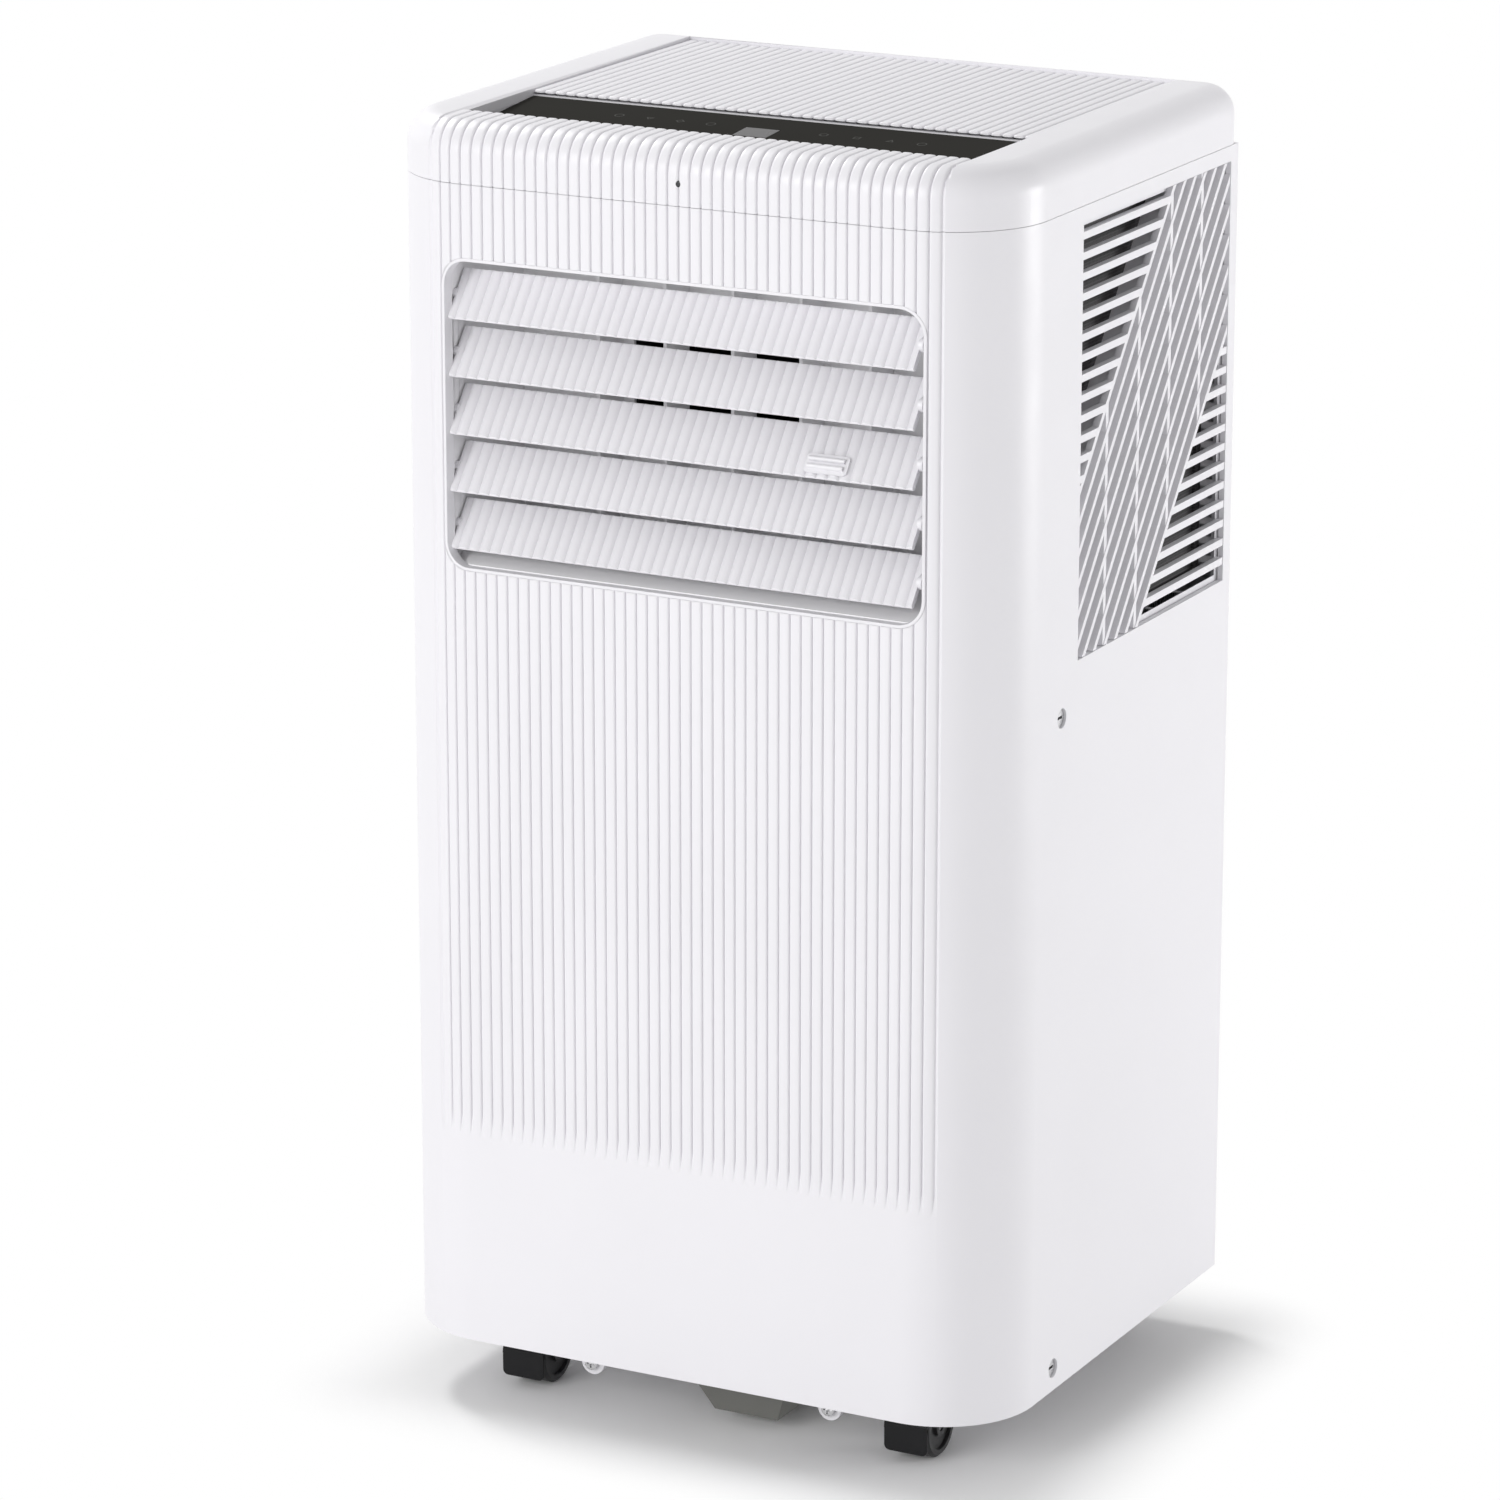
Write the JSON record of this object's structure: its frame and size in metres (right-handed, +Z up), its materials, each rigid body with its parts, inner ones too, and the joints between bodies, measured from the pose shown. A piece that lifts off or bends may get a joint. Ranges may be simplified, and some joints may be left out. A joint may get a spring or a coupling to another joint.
{
  "type": "portable air conditioner",
  "caption": "Upright white portable air conditioner with a reeded front, linked outlet louvres, a slatted side intake, a sunken touch strip and swivel castors.",
  "frame": {"origin": "middle of the footprint on the floor, under the centre of the bounding box", "axes": "+Z up, +X to the unit's right as seen from the front, +Y to the back; the louvred front faces -Y"},
  "size_m": [0.342, 0.285, 0.666],
  "materials": {
    "shell_white": "fine satin moulded plastic, white with a faint cool cast",
    "panel_black": "gloss black touch strip",
    "display_grey": "smoked grey window",
    "lens_dark": "dark infrared lens",
    "duct_grey": "grey moulded plastic",
    "fan_black": "black moulded plastic",
    "filter_dark": "dark mesh filter in a frame",
    "board_green": "circuit board",
    "sump_grey": "dark grey moulded plastic",
    "castor_black": "black nylon",
    "steel": "zinc plated steel",
    "rubber_dark": "soft black rubber",
    "compressor_black": "black painted steel",
    "coil_aluminium": "thin aluminium",
    "copper": "bare copper tube",
    "box_grey": "grey painted sheet steel"
  },
  "bodies": {
    "cabinet": {"front_shell": "shell_white", "side_grille": "shell_white", "rear_cover": "shell_white", "top_cover": "shell_white", "base_pan": "shell_white", "control_panel": "panel_black", "display_window": "display_grey", "sensor_lens": "lens_dark", "outlet_duct": "duct_grey", "guide_vanes": "duct_grey", "blower_housing": "duct_grey", "exhaust_housing": "duct_grey", "exhaust_collar": "duct_grey", "partition_deck": "duct_grey", "side_filter": "filter_dark", "control_board": "board_green", "drain_sump": "sump_grey", "base_screws": "steel", "shell_screws": "steel", "cord_gland": "rubber_dark", "compressor_feet": "rubber_dark", "compressor": "compressor_black", "blower_motor": "compressor_black", "exhaust_motor": "compressor_black", "evaporator_coil": "coil_aluminium", "condenser_coil": "coil_aluminium", "capacitor": "coil_aluminium", "suction_pipe": "copper", "discharge_pipe": "copper", "electrical_box": "box_grey"},
    "louver_1": {"louver_1": "shell_white"},
    "louver_2": {"louver_2": "shell_white"},
    "louver_3": {"louver_3": "shell_white", "louver_tab": "shell_white"},
    "louver_4": {"louver_4": "shell_white"},
    "louver_5": {"louver_5": "shell_white"},
    "louver_link": {"louver_link": "duct_grey"},
    "blower_wheel": {"blower_wheel": "fan_black"},
    "exhaust_wheel": {"exhaust_wheel": "fan_black"},
    "drain_plug": {"drain_plug": "rubber_dark"},
    "rear_grille": {"rear_grille": "shell_white"},
    "castor_front_left": {"castor_hood_front_left": "castor_black", "castor_stem_front_left": "steel"},
    "castor_wheels_front_left": {"castor_wheels_front_left": "castor_black", "castor_axle_front_left": "steel"},
    "castor_front_right": {"castor_hood_front_right": "castor_black", "castor_stem_front_right": "steel"},
    "castor_wheels_front_right": {"castor_wheels_front_right": "castor_black", "castor_axle_front_right": "steel"},
    "castor_rear_left": {"castor_hood_rear_left": "castor_black", "castor_stem_rear_left": "steel"},
    "castor_wheels_rear_left": {"castor_wheels_rear_left": "castor_black", "castor_axle_rear_left": "steel"},
    "castor_rear_right": {"castor_hood_rear_right": "castor_black", "castor_stem_rear_right": "steel"},
    "castor_wheels_rear_right": {"castor_wheels_rear_right": "castor_black", "castor_axle_rear_right": "steel"}
  },
  "joints": [
    {"name": "louver_1_hinge", "type": "hinge", "parent": "cabinet", "child": "louver_1", "pos_m": [0, -0.13, 0.463], "axis": [1, 0, 0], "range_deg": [-37, 33]},
    {"name": "louver_2_hinge", "type": "hinge", "parent": "cabinet", "child": "louver_2", "pos_m": [0, -0.13, 0.492], "axis": [1, 0, 0], "range_deg": [-37, 33]},
    {"name": "louver_3_hinge", "type": "hinge", "parent": "cabinet", "child": "louver_3", "pos_m": [0, -0.13, 0.521], "axis": [1, 0, 0], "range_deg": [-37, 33]},
    {"name": "louver_4_hinge", "type": "hinge", "parent": "cabinet", "child": "louver_4", "pos_m": [0, -0.13, 0.55], "axis": [1, 0, 0], "range_deg": [-37, 33]},
    {"name": "louver_5_hinge", "type": "hinge", "parent": "cabinet", "child": "louver_5", "pos_m": [0, -0.13, 0.579], "axis": [1, 0, 0], "range_deg": [-37, 33]},
    {"name": "louver_link_hinge", "type": "hinge", "parent": "louver_3", "child": "louver_link", "pos_m": [0, -0.12, 0.521], "axis": [1, 0, 0], "range_deg": [-33, 37]},
    {"name": "blower_wheel_spin", "type": "hinge", "parent": "cabinet", "child": "blower_wheel", "pos_m": [-0.021, 0.035, 0.479], "axis": [1, 0, 0], "continuous": true},
    {"name": "exhaust_wheel_spin", "type": "hinge", "parent": "cabinet", "child": "exhaust_wheel", "pos_m": [0.059, 0, 0.19], "axis": [1, 0, 0], "continuous": true},
    {"name": "drain_plug_pull", "type": "slide", "parent": "cabinet", "child": "drain_plug", "axis": [0, 1, 0], "range_m": [0, 0.025]},
    {"name": "rear_grille_pull", "type": "slide", "parent": "cabinet", "child": "rear_grille", "axis": [0, 1, 0], "range_m": [0, 0.045]},
    {"name": "castor_front_left_swivel", "type": "hinge", "parent": "cabinet", "child": "castor_front_left", "pos_m": [-0.11, -0.1, 0.037], "axis": [0, 0, 1], "continuous": true},
    {"name": "castor_front_left_roll", "type": "hinge", "parent": "castor_front_left", "child": "castor_wheels_front_left", "pos_m": [-0.11, -0.092, 0.016], "axis": [1, 0, 0], "continuous": true},
    {"name": "castor_front_right_swivel", "type": "hinge", "parent": "cabinet", "child": "castor_front_right", "pos_m": [0.11, -0.1, 0.037], "axis": [0, 0, 1], "continuous": true},
    {"name": "castor_front_right_roll", "type": "hinge", "parent": "castor_front_right", "child": "castor_wheels_front_right", "pos_m": [0.11, -0.092, 0.016], "axis": [1, 0, 0], "continuous": true},
    {"name": "castor_rear_left_swivel", "type": "hinge", "parent": "cabinet", "child": "castor_rear_left", "pos_m": [-0.11, 0.091, 0.037], "axis": [0, 0, 1], "continuous": true},
    {"name": "castor_rear_left_roll", "type": "hinge", "parent": "castor_rear_left", "child": "castor_wheels_rear_left", "pos_m": [-0.11, 0.099, 0.016], "axis": [1, 0, 0], "continuous": true},
    {"name": "castor_rear_right_swivel", "type": "hinge", "parent": "cabinet", "child": "castor_rear_right", "pos_m": [0.11, 0.091, 0.037], "axis": [0, 0, 1], "continuous": true},
    {"name": "castor_rear_right_roll", "type": "hinge", "parent": "castor_rear_right", "child": "castor_wheels_rear_right", "pos_m": [0.11, 0.099, 0.016], "axis": [1, 0, 0], "continuous": true}
  ],
  "couplings": [
    {"joint": "louver_1_hinge", "follows": "louver_3_hinge", "ratio": 1},
    {"joint": "louver_2_hinge", "follows": "louver_3_hinge", "ratio": 1},
    {"joint": "louver_4_hinge", "follows": "louver_3_hinge", "ratio": 1},
    {"joint": "louver_5_hinge", "follows": "louver_3_hinge", "ratio": 1},
    {"joint": "louver_link_hinge", "follows": "louver_3_hinge", "ratio": -1}
  ]
}
